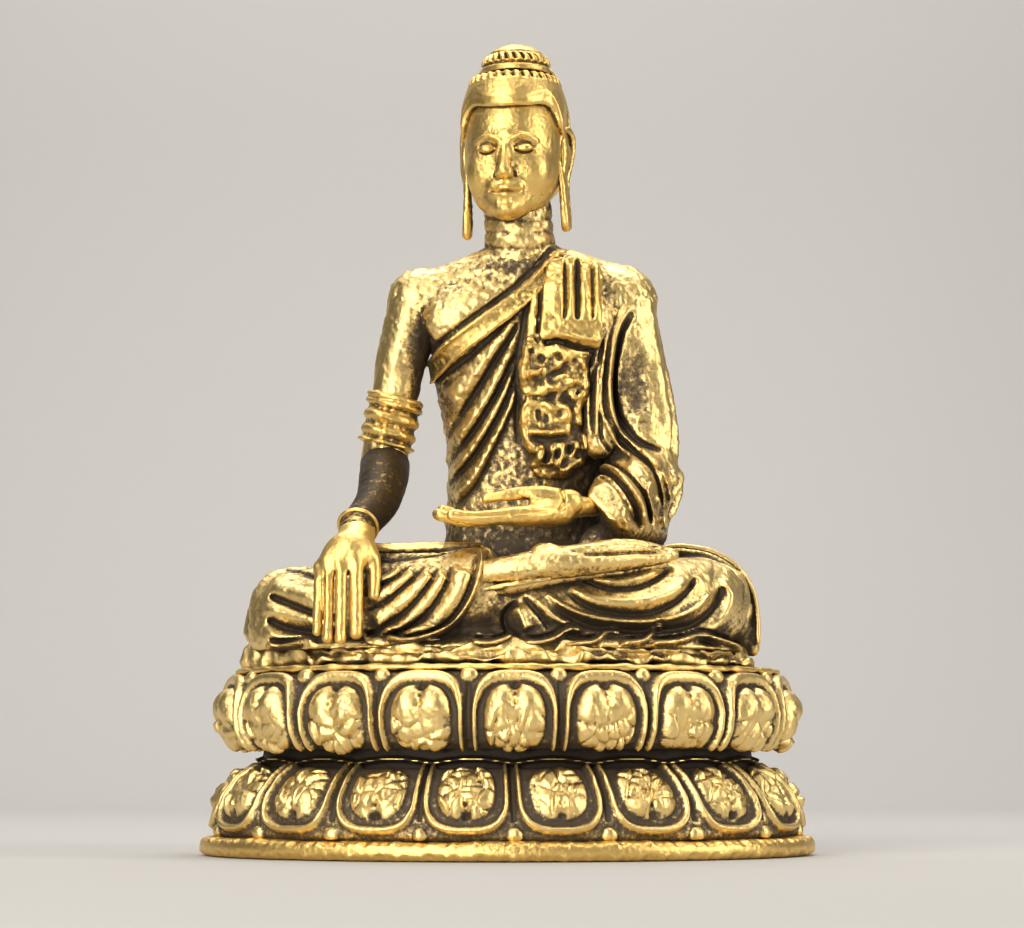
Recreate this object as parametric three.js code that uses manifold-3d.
// A small antique-brass seated Buddha on a double lotus throne, in the earth-touching pose.
// It is built the way a section-cast bronze is: oval throne tiers stacked on locating spigots, and a figure
// of separately cast legs, torso, arms, hands, head, ears, hair and robe pieces that meet at fitted seams.
// Millimetres, +Z up, the figure faces -Y, origin at the centre of the foot's underside.
import * as THREE from "three";
import { ConvexGeometry } from "three/addons/geometries/ConvexGeometry.js";
import { mergeVertices } from "three/addons/utils/BufferGeometryUtils.js";
import Module from "manifold-3d";

const wasm = await Module();
wasm.setup();

// ---------- driving dimensions ----------
const BASE_HALF_WIDTH = 17; // of the foot, which is the widest piece
const OVAL = 0.75; // depth over width of every throne tier
const PETALS = 18; // round each row
const GAP = 0.05; // seam left between fitted pieces
const RIM_TOP = 1.05;
const LOWER_TOP = 4.8;
const WAIST_TOP = 5.3;
const UPPER_TOP = 9.75;
const PLATE_TOP = 10.15; // the seat plate, on which the figure rests
const CLOTH_TOP = 11.2; // the spread hem under the legs
const SPIGOT = { radius: 7, height: 0.5, clearance: 0.06 }; // locates one tier on the next
const WAIST_RISE = WAIST_TOP - LOWER_TOP + SPIGOT.height; // passes through the waist band
const PLATE_RISE = PLATE_TOP - UPPER_TOP; // ends level with the seat plate
const GROOVE = 0.55; // how deep the valley between two petals is

const NECK = new THREE.Vector3(0.7, 1.3, 33.4); // centre of the neck's root
const HEAD = new THREE.Vector3(0.4, 0.75, 38.95); // centre of the head
const CROWN = 45.6; // top of the hair knot
const HEAD_TURN = 0.2; // the head looks a little to its own right, in radians

const RIGHT_SHOULDER = new THREE.Vector3(-5.1, 1.6, 30.5);
const RIGHT_ELBOW = new THREE.Vector3(-6.75, 1.4, 21.9);
const RIGHT_WRIST = new THREE.Vector3(-8.05, -6.3, 17.7);
const LEFT_SHOULDER = new THREE.Vector3(6.5, 1.7, 30.4);
const LEFT_ELBOW = new THREE.Vector3(7.8, 0.8, 20.4);
const LEFT_WRIST = new THREE.Vector3(3.5, -5.3, 18.7);

// ---------- materials ----------
const finish = (color, roughness) => new THREE.MeshStandardMaterial({ color, roughness, metalness: 1 });
const BRIGHT = finish(0xd2a04a, 0.3); // rubbed bare brass
const ANTIQUE = finish(0x8f6c34, 0.45); // brass with dark wash left in the folds
const DARK = finish(0x2e261d, 0.6); // blackened brass

// ---------- helpers ----------
const v3 = (x, y, z) => new THREE.Vector3(x, y, z);

/** A closed geometry as a manifold-3d solid. */
function solid(geometry) {
  const bare = geometry.clone();
  bare.deleteAttribute("normal");
  bare.deleteAttribute("uv");
  const merged = mergeVertices(bare, 1e-4);
  return new wasm.Manifold(
    new wasm.Mesh({
      numProp: 3,
      vertProperties: merged.attributes.position.array,
      triVerts: new Uint32Array(merged.index.array),
    }),
  );
}

/** A solid's surface as a BufferGeometry. */
function surface(manifold) {
  const mesh = manifold.getMesh();
  return new THREE.BufferGeometry()
    .setAttribute("position", new THREE.BufferAttribute(new Float32Array(mesh.vertProperties), 3))
    .setIndex(new THREE.BufferAttribute(new Uint32Array(mesh.triVerts), 1));
}

/** The solid with its surface moved out by a distance, which makes room for a seam when it is used as a cutter. */
function grown(manifold, distance = GAP) {
  const geometry = surface(manifold);
  geometry.computeVertexNormals();
  const { position, normal } = geometry.attributes;
  for (let i = 0; i < position.count; i++) {
    const out = new THREE.Vector3().fromBufferAttribute(normal, i).multiplyScalar(distance);
    position.setXYZ(i, position.getX(i) + out.x, position.getY(i) + out.y, position.getZ(i) + out.z);
  }
  return solid(geometry);
}

/** The body of largest volume, which drops the slivers that a cut can leave. */
function largest(manifold) {
  return manifold.decompose().reduce((a, b) => (b.volume() > a.volume() ? b : a));
}

/** The solid with a seam's room cut for each neighbour that it meets. */
function fitted(manifold, ...neighbours) {
  return largest(neighbours.reduce((rest, n) => rest.subtract(grown(n)), manifold));
}

/** Several overlapping solids as one. */
const joined = (...solids) => solids.reduce((a, b) => a.add(b));

/** A body of oval cross-sections stacked along Z. Each row is [height, half width, half depth, centre x, centre y]. */
function ovalLoft(rows, segments = 28) {
  const profile = rows.map((_, i) => new THREE.Vector2(1, i));
  profile.unshift(new THREE.Vector2(0, 0));
  profile.push(new THREE.Vector2(0, rows.length - 1));
  const geometry = new THREE.LatheGeometry(profile, segments);
  const { position } = geometry.attributes;
  for (let i = 0; i < position.count; i++) {
    const [z, halfWidth, halfDepth, x, y] = rows[Math.round(position.getY(i))];
    position.setXYZ(i, x + halfWidth * position.getX(i), y - halfDepth * position.getZ(i), z);
  }
  return solid(geometry);
}

/** A limb or finger that tapers from one round end to another. */
function limb(from, fromRadius, to, toRadius, detail = 10) {
  const points = [];
  for (const [centre, radius] of [[from, fromRadius], [to, toRadius]]) {
    const { position } = new THREE.SphereGeometry(radius, detail, Math.ceil(detail * 0.7)).attributes;
    for (let i = 0; i < position.count; i++)
      points.push(new THREE.Vector3().fromBufferAttribute(position, i).add(centre));
  }
  return solid(new ConvexGeometry(points));
}

/** A ball squashed to three radii. */
function ellipsoid(centre, rx, ry, rz, detail = 16) {
  const geometry = new THREE.SphereGeometry(1, detail, Math.ceil(detail * 0.7));
  return solid(geometry.scale(rx, ry, rz).translate(centre.x, centre.y, centre.z));
}

/** A box between two corners, turned about its own centre. */
function block(low, high, turn = new THREE.Euler()) {
  const size = high.clone().sub(low);
  const centre = high.clone().add(low).multiplyScalar(0.5);
  const geometry = new THREE.BoxGeometry(size.x, size.y, size.z);
  geometry.applyMatrix4(new THREE.Matrix4().makeRotationFromEuler(turn));
  return solid(geometry.translate(centre.x, centre.y, centre.z));
}

/** Closed cross-section [radius, height] turned about the Z axis. */
function turned(points, segments = 48) {
  const outline = points.map(([radius, height]) => new THREE.Vector2(radius, height));
  return new THREE.LatheGeometry(outline, segments).rotateX(Math.PI / 2);
}

/** The angles, clockwise from the front, that cut an oval tier's edge into a number of equal lengths. */
function evenAngles(count) {
  const fine = count * 40;
  const passed = [0];
  for (let i = 0; i < fine; i++) {
    const angle = ((i + 0.5) * 2 * Math.PI) / fine;
    passed.push(passed[i] + Math.hypot(Math.cos(angle), OVAL * Math.sin(angle)));
  }
  const nearest = (length) => passed.findIndex((p) => p >= length);
  return Array.from({ length: count }, (_, i) => (nearest((passed[fine] * i) / count) * 2 * Math.PI) / fine);
}

const group = new THREE.Group();

/** Adds one named piece to the statue. */
function piece(name, manifold, material) {
  const mesh = new THREE.Mesh(surface(manifold), material);
  mesh.name = name;
  group.add(mesh);
  return manifold;
}

// ---------- lotus throne ----------
/** The oval stub on a tier's top that locates what stands on it. */
function spigot(top, rise) {
  const { radius } = SPIGOT;
  const outline = [[0, top - 0.2], [radius, top - 0.2], [radius, top + rise], [0, top + rise]];
  return solid(turned(outline, 32).scale(1, OVAL, 1));
}

/** The space that a stub of that rise needs in the tiers above it. */
function socket(top, rise) {
  const radius = SPIGOT.radius + SPIGOT.clearance;
  const roof = top + rise + SPIGOT.clearance;
  return solid(turned([[0, top - 1], [radius, top - 1], [radius, roof], [0, roof]], 32).scale(1, OVAL, 1));
}

/** One oval tier from a side profile, with petals bulging from it; offset shifts the row round by part of a petal. */
function petalTier(profile, offset) {
  const perPetal = 4;
  const steps = PETALS * perPetal;
  const angles = evenAngles(steps);
  const outline = [[0, profile[0][1]], ...profile, [0, profile[profile.length - 1][1]]];
  const geometry = turned(outline, steps);
  const { position } = geometry.attributes;
  for (let i = 0; i < position.count; i++) {
    const radius = Math.hypot(position.getX(i), position.getY(i));
    const turn = Math.atan2(position.getX(i), -position.getY(i)) / (2 * Math.PI);
    const step = (Math.round(turn * steps) + steps) % steps;
    const across = Math.abs(((step / perPetal + offset + 0.5) % 1) - 0.5) * 2; // 0 on a petal's middle, 1 in the valley
    const kept = Math.max(radius - GROOVE * across ** 3, 0);
    position.setXYZ(i, kept * Math.sin(angles[step]), -kept * OVAL * Math.cos(angles[step]), position.getZ(i));
  }
  return solid(geometry);
}

const plainTier = (profile) => solid(turned(profile, 60).scale(1, OVAL, 1));

const footRim = plainTier([
  [0, 0],
  [BASE_HALF_WIDTH - 0.3, 0],
  [BASE_HALF_WIDTH, 0.45],
  [BASE_HALF_WIDTH - 0.1, 0.8],
  [BASE_HALF_WIDTH - 0.4, RIM_TOP],
  [0, RIM_TOP],
]);
piece("foot_rim", footRim.add(spigot(RIM_TOP, SPIGOT.height)), BRIGHT);

const lowerTier = petalTier(
  [[16.25, RIM_TOP + GAP], [16.45, 1.6], [16.1, 3], [15.2, 4.2], [14.1, LOWER_TOP]],
  0.5,
);
piece("lower_lotus_tier", lowerTier.subtract(socket(RIM_TOP, SPIGOT.height)).add(spigot(LOWER_TOP, WAIST_RISE)), ANTIQUE);

const waist = plainTier([[0, LOWER_TOP + GAP], [13.5, LOWER_TOP + GAP], [13.3, 5.05], [13.6, WAIST_TOP], [0, WAIST_TOP]]);
piece("waist_band", waist.subtract(socket(LOWER_TOP, WAIST_RISE)), DARK);

const upperTier = petalTier(
  [[14.4, WAIST_TOP + GAP], [15.4, 6.1], [15.95, 7.5], [15.6, 8.9], [14.9, UPPER_TOP]],
  0,
);
piece("upper_lotus_tier", upperTier.subtract(socket(WAIST_TOP, SPIGOT.height)).add(spigot(UPPER_TOP, PLATE_RISE)), ANTIQUE);

const seatPlate = plainTier([[0, UPPER_TOP + GAP], [14.9, UPPER_TOP + GAP], [15.05, 9.95], [14.9, PLATE_TOP], [0, PLATE_TOP]]);
piece("seat_plate", seatPlate.subtract(socket(UPPER_TOP, PLATE_RISE)), BRIGHT);

// The hem of the robe spread on the plate: an oval sheet with a rippled edge.
function rippledCloth() {
  const ripples = 24;
  const geometry = turned(
    [[0, PLATE_TOP + GAP], [14.2, PLATE_TOP + GAP], [14.4, 10.6], [13.6, CLOTH_TOP], [0, CLOTH_TOP]],
    ripples * 4,
  );
  const { position } = geometry.attributes;
  for (let i = 0; i < position.count; i++) {
    const [x, y] = [position.getX(i), position.getY(i)];
    const radius = Math.hypot(x, y);
    const wave = radius > 0 ? 1 + (0.18 * Math.cos(ripples * Math.atan2(y, x))) / radius : 1;
    position.setXYZ(i, x * wave - 0.4, y * wave * 0.74, position.getZ(i));
  }
  return solid(geometry);
}
const seatCloth = piece("seat_cloth", rippledCloth(), ANTIQUE);

// ---------- legs ----------
const underLegs = block(v3(-20, -20, 0), v3(20, 20, CLOTH_TOP + GAP));
const legs = joined(
  limb(v3(-4.0, 3.2, 14.4), 3.3, v3(-11.0, -1.6, 13.4), 2.5, 12), // right thigh and knee
  limb(v3(-11.2, -2.2, 13.2), 2.5, v3(-1.5, -6.6, 13.2), 2.2, 12), // right shin
  limb(v3(4.4, 3.2, 14.6), 3.4, v3(10.4, -1.4, 13.9), 2.95, 12), // left thigh and knee
  limb(v3(10.4, -2.2, 13.7), 2.8, v3(1.5, -6.6, 13.0), 2.1, 12), // left shin
  ellipsoid(v3(0.3, 3.4, 14.0), 6.6, 4.8, 3.7), // hips
  ellipsoid(v3(0.2, -2.6, 12.0), 8.6, 4.9, 2.1), // lap between the thighs
  ellipsoid(v3(9.2, -0.7, 12.9), 4.45, 1.5, 3.95), // robe standing up behind the left knee
).subtract(underLegs);
piece("crossed_legs", legs, ANTIQUE);

// ---------- torso, neck and head ----------
const torso = fitted(
  ovalLoft([
    [13.8, 4.8, 3.4, 0.7, 2.6],
    [18.4, 4.3, 3.1, 1.0, 2.5],
    [22.0, 4.4, 3.15, 1.2, 2.2],
    [25.4, 4.95, 3.4, 1.1, 2.1],
    [28.6, 5.8, 3.5, 1.0, 2.0],
    [30.7, 6.4, 3.2, 0.9, 2.0],
    [32.0, 6.1, 2.8, 0.85, 1.95],
    [32.8, 4.9, 2.4, 0.8, 1.8],
    [33.4, 2.7, 1.9, NECK.x, 1.6],
  ]),
  legs,
);
piece("torso", torso, ANTIQUE);

const neck = fitted(
  ovalLoft(
    [
      [32.6, 2.25, 2.2, NECK.x, NECK.y],
      [33.8, 2.0, 1.95, NECK.x, NECK.y],
      [35.5, 1.9, 1.8, NECK.x - 0.1, NECK.y - 0.1],
      [36.9, 1.6, 1.5, NECK.x - 0.2, NECK.y - 0.2],
    ],
    22,
  ),
  torso,
);
piece("neck", neck, ANTIQUE);

// The head and what is on it are made facing -Y about the head's own centre, then turned together.
const turnHead = (manifold) => {
  const about = new THREE.Matrix4()
    .makeTranslation(HEAD.x, HEAD.y, HEAD.z)
    .multiply(new THREE.Matrix4().makeRotationZ(-HEAD_TURN));
  return solid(surface(manifold).applyMatrix4(about));
};
const skull = ovalLoft(
  [
    [-3.75, 0.8, 0.9, 0, -1.6],
    [-3.35, 1.45, 1.5, 0, -1.3],
    [-2.4, 2.1, 2.35, 0, -0.7],
    [-1.0, 2.5, 2.95, 0, -0.2],
    [0.6, 2.65, 3.2, 0, 0],
    [2.2, 2.6, 3.2, 0, 0.05],
    [3.4, 2.2, 2.75, 0, 0.15],
    [4.2, 1.4, 1.8, 0, 0.2],
  ],
  26,
);
const nose = limb(v3(0, -3.0, 0.5), 0.22, v3(0, -3.45, -0.75), 0.42, 8);
const head = fitted(turnHead(skull.add(nose)), neck);
piece("head", head, BRIGHT);

// The hair is a close cap above a line that falls from the brow to the nape, with the knot on its crown.
const hairShell = grown(skull, 0.42);
const aboveBrow = block(v3(-6, -6, 0), v3(6, 9, 9));
const tilt = new THREE.Matrix4().makeTranslation(0, -3.2, 2.75).multiply(new THREE.Matrix4().makeRotationX(-0.62));
const hairSpace = solid(surface(aboveBrow).applyMatrix4(tilt));
const hair = largest(turnHead(hairShell.intersect(hairSpace)).subtract(grown(head)).subtract(grown(neck)));
piece("hair_cap", hair, BRIGHT);

const knotShape = ovalLoft(
  [
    [4.0, 2.05, 2.1, 0.05, 0.5],
    [4.9, 1.95, 2.0, 0.05, 0.5],
    [5.6, 1.6, 1.65, 0.05, 0.5],
    [6.1, 1.05, 1.1, 0.05, 0.5],
    [CROWN - HEAD.z, 0.4, 0.45, 0.05, 0.5],
  ],
  22,
);
piece("hair_knot", fitted(turnHead(knotShape), hair, head), BRIGHT);

/** A long-lobed ear, flat against the side of the head; side is -1 for its right. */
function ear(side) {
  const outline = new THREE.Shape();
  outline.moveTo(-0.1, -4.3);
  outline.quadraticCurveTo(-0.75, -4.1, -0.6, -2.8);
  outline.quadraticCurveTo(-0.35, -1.2, -0.65, 0.2);
  outline.quadraticCurveTo(-0.7, 1.5, 0.25, 1.6);
  outline.quadraticCurveTo(1.1, 1.4, 0.9, 0.3);
  outline.quadraticCurveTo(0.45, -1.4, 0.5, -3);
  outline.quadraticCurveTo(0.45, -4.2, -0.1, -4.3);
  const geometry = new THREE.ExtrudeGeometry(outline, { depth: 0.5, bevelEnabled: false, curveSegments: 4 });
  geometry.rotateX(Math.PI / 2).rotateZ(Math.PI / 2); // the outline's width along Y and its height along Z
  geometry.rotateY(side * -0.08).translate(side * 2.72 - 0.25, 0.2, 0.4);
  return fitted(turnHead(solid(geometry)), head, hair, neck, torso);
}
const rightEar = piece("right_ear", ear(-1), BRIGHT);
const leftEar = piece("left_ear", ear(1), BRIGHT);

// ---------- right arm, reaching down over the knee ----------
const upperArm = fitted(limb(RIGHT_SHOULDER, 1.75, RIGHT_ELBOW, 1.3, 14), torso);
piece("right_upper_arm", upperArm, ANTIQUE);

/** Moves a geometry built about +Z from the origin to stand on a point, along a direction. */
function along(geometry, at, direction) {
  const turn = new THREE.Quaternion().setFromUnitVectors(v3(0, 0, 1), direction.clone().normalize());
  return geometry.applyQuaternion(turn).translate(at.x, at.y, at.z);
}

// Four rings round the upper arm, cast as one band.
function armBands() {
  const rings = 4;
  const pitch = 0.78;
  const outline = [[1.1, 0]];
  for (let i = 0; i < rings; i++)
    outline.push([1.6, i * pitch], [1.88, i * pitch + 0.34], [1.6, i * pitch + 0.68]);
  outline.push([1.1, rings * pitch - 0.1], [1.1, 0]);
  const towards = RIGHT_SHOULDER.clone().sub(RIGHT_ELBOW);
  const start = RIGHT_ELBOW.clone().addScaledVector(towards, 0.1);
  return solid(along(turned(outline, 18), start, towards));
}
const bands = piece("arm_bands", fitted(armBands(), upperArm, torso), BRIGHT);

const forearm = fitted(limb(v3(-6.8, 0.9, 21.3), 1.3, RIGHT_WRIST, 0.95, 12), upperArm, bands, torso, legs);
piece("right_forearm", forearm, DARK);

const wristRing = new THREE.TorusGeometry(1.06, 0.16, 5, 16);
const bangleAt = RIGHT_WRIST.clone().add(v3(0, 0.45, 0.2));
const bangle = fitted(solid(along(wristRing, bangleAt, v3(-0.12, -0.9, -0.42))), forearm, legs);
piece("wrist_bangle", bangle, BRIGHT);

const knuckles = [v3(-10.0, -8.4, 15.0), v3(-9.5, -8.7, 15.1), v3(-8.85, -8.85, 15.1), v3(-8.15, -8.8, 15.2)];
const tips = [v3(-10.1, -8.7, 12.0), v3(-9.55, -9.1, 11.7), v3(-8.9, -9.2, 11.65), v3(-8.15, -9.1, 11.9)];
const rightHand = fitted(
  joined(
    limb(v3(-8.1, -7.2, 17.1), 0.85, v3(-9.35, -8.15, 15.6), 0.8, 8),
    limb(v3(-8.1, -7.2, 17.1), 0.85, v3(-8.1, -8.15, 15.6), 0.8, 8),
    ...knuckles.map((knuckle, i) => limb(knuckle, 0.42, tips[i], 0.33, 6)),
    limb(v3(-7.6, -7.7, 16.5), 0.45, v3(-7.2, -8.5, 13.8), 0.3, 6),
  ),
  forearm,
  bangle,
  legs,
  seatCloth,
);
piece("right_hand", rightHand, BRIGHT);

// ---------- left arm in its sleeve, hand open in the lap ----------
const sleeve = fitted(
  joined(
    limb(LEFT_SHOULDER, 2.0, LEFT_ELBOW, 2.1, 12),
    limb(LEFT_ELBOW, 2.1, v3(4.6, -4.4, 18.9), 1.35, 10),
    limb(v3(7.5, 0.2, 18.5), 1.95, v3(6.2, -3.0, 17.4), 1.5, 8), // cloth gathered under the forearm
  ),
  torso,
  legs,
  head,
);
piece("left_sleeve", sleeve, ANTIQUE);

const leftPalm = [v3(-0.4, -6.0, 18.6), v3(-0.5, -6.7, 18.55), v3(-0.4, -7.4, 18.5), v3(-0.2, -8.0, 18.45)];
const leftTips = [v3(-3.7, -6.3, 18.5), v3(-4.1, -7.0, 18.35), v3(-4.0, -7.7, 18.25), v3(-3.4, -8.3, 18.2)];
const leftHand = fitted(
  joined(
    limb(LEFT_WRIST, 0.8, v3(-0.2, -6.2, 18.6), 0.6, 8),
    limb(LEFT_WRIST, 0.8, v3(0.0, -7.7, 18.5), 0.6, 8),
    ...leftPalm.map((root, i) => limb(root, 0.42, leftTips[i], 0.3, 6)),
    limb(v3(1.6, -5.9, 19.1), 0.5, v3(-1.0, -5.4, 19.35), 0.32, 6),
  ),
  sleeve,
  torso,
  legs,
);
piece("left_hand", leftHand, BRIGHT);

// ---------- foot and cloth ----------

/** A layer of cloth on the legs: as much of their thickened shape as lies inside an outline seen from the front. */
function legCloth(outline, thickness) {
  const prism = new THREE.ExtrudeGeometry(outline, { depth: 14, bevelEnabled: false, curveSegments: 6 });
  return grown(legs, thickness).intersect(solid(prism.rotateX(Math.PI / 2)));
}
const pleatFan = new THREE.Shape();
pleatFan.moveTo(-6.6, 15.9);
pleatFan.lineTo(-1.9, 15.6);
pleatFan.quadraticCurveTo(-2.2, 12.8, -5.2, 11.6);
pleatFan.lineTo(-7.2, 11.5);
const pleats = fitted(legCloth(pleatFan, 0.5), legs, rightHand, underLegs);
piece("robe_pleats", pleats, ANTIQUE);

const foot = fitted(
  joined(
    limb(v3(-1.4, -8.4, 14.5), 1.15, v3(4.2, -8.0, 15.3), 1.15, 10),
    limb(v3(4.2, -8.0, 15.3), 1.15, v3(8.4, -6.2, 16.2), 0.5, 10),
  ),
  legs,
  sleeve,
  leftHand,
  pleats,
);
piece("right_foot", foot, ANTIQUE);

const lapDrape = new THREE.Shape();
lapDrape.moveTo(-0.9, 13.8);
lapDrape.quadraticCurveTo(5, 14.2, 8.4, 15.6);
lapDrape.quadraticCurveTo(12, 15, 12.4, 11.6);
lapDrape.lineTo(0.4, 11.6);
piece("lap_drape", fitted(legCloth(lapDrape, 0.4), legs, foot, pleats, underLegs), ANTIQUE);

// The hem band lies on the chest from under the bare arm up to the covered shoulder.
const slant = new THREE.Euler(0, -0.68, 0);
const hemBand = fitted(
  grown(torso, 0.42)
    .intersect(block(v3(-5.6, -4, 29.1), v3(3.4, 1.2, 30.7), slant))
    .subtract(block(v3(-8, 1.3, 20), v3(10, 8, 36))),
  torso,
  neck,
  upperArm,
  bands,
);
piece("robe_hem_band", hemBand, BRIGHT);

// The folded outer robe hangs from the left shoulder: a flat upper panel and a crumpled tail.
function shoulderCloth() {
  const outline = new THREE.Shape();
  outline.moveTo(1.9, 32.6);
  outline.lineTo(1.2, 27.2);
  outline.quadraticCurveTo(0.4, 25.6, 0.7, 23.6);
  outline.quadraticCurveTo(0.8, 21.4, 2.2, 20.9);
  outline.quadraticCurveTo(3.6, 20.7, 4.2, 22.2);
  outline.quadraticCurveTo(4.7, 24.8, 4.9, 27.2);
  outline.lineTo(5.0, 32.0);
  outline.quadraticCurveTo(3.6, 33.1, 1.9, 32.6);
  const geometry = new THREE.ExtrudeGeometry(outline, { depth: 3.6, bevelEnabled: false, curveSegments: 5 });
  return solid(geometry.rotateX(Math.PI / 2).translate(0, 1.3, 0));
}
const chestReach = grown(torso, 1.15);
piece(
  "shoulder_cloth",
  fitted(shoulderCloth().intersect(chestReach), torso, neck, sleeve, hemBand, leftEar, rightEar, leftHand),
  BRIGHT,
);

export default group;
